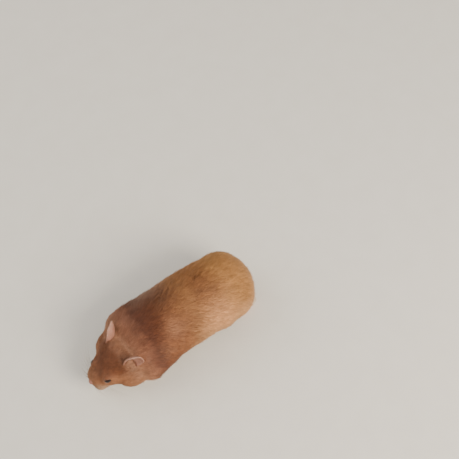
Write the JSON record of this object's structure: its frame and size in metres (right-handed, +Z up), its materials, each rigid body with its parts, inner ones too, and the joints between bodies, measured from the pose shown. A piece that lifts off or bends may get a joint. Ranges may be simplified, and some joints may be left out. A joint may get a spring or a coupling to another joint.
{
  "type": "syrian hamster",
  "caption": "Life-size still model of a golden Syrian hamster in a slow walk, head low and turned a little to the left",
  "frame": {"origin": "on the floor, at the middle of the base of the overall box", "axes": "the animal faces +X, its left side is on +Y, and +Z is up"},
  "size_m": [0.1428, 0.059, 0.0559],
  "materials": {
    "golden_fur": "short soft golden-brown coat",
    "bare_skin": "thin pink skin with very fine down",
    "dark_eye": "wet, near-black eye"
  },
  "bodies": {
    "root": {"trunk": "golden_fur", "neck": "golden_fur", "head": "golden_fur", "foreleg_left": "golden_fur", "foreleg_right": "golden_fur", "hindleg_left": "golden_fur", "hindleg_right": "golden_fur", "forepaw_left": "bare_skin", "forepaw_right": "bare_skin", "hindfoot_left": "bare_skin", "hindfoot_right": "bare_skin", "tail": "bare_skin", "nose": "bare_skin", "ear_left": "bare_skin", "ear_right": "bare_skin", "eye_left": "dark_eye", "eye_right": "dark_eye"}
  },
  "joints": []
}
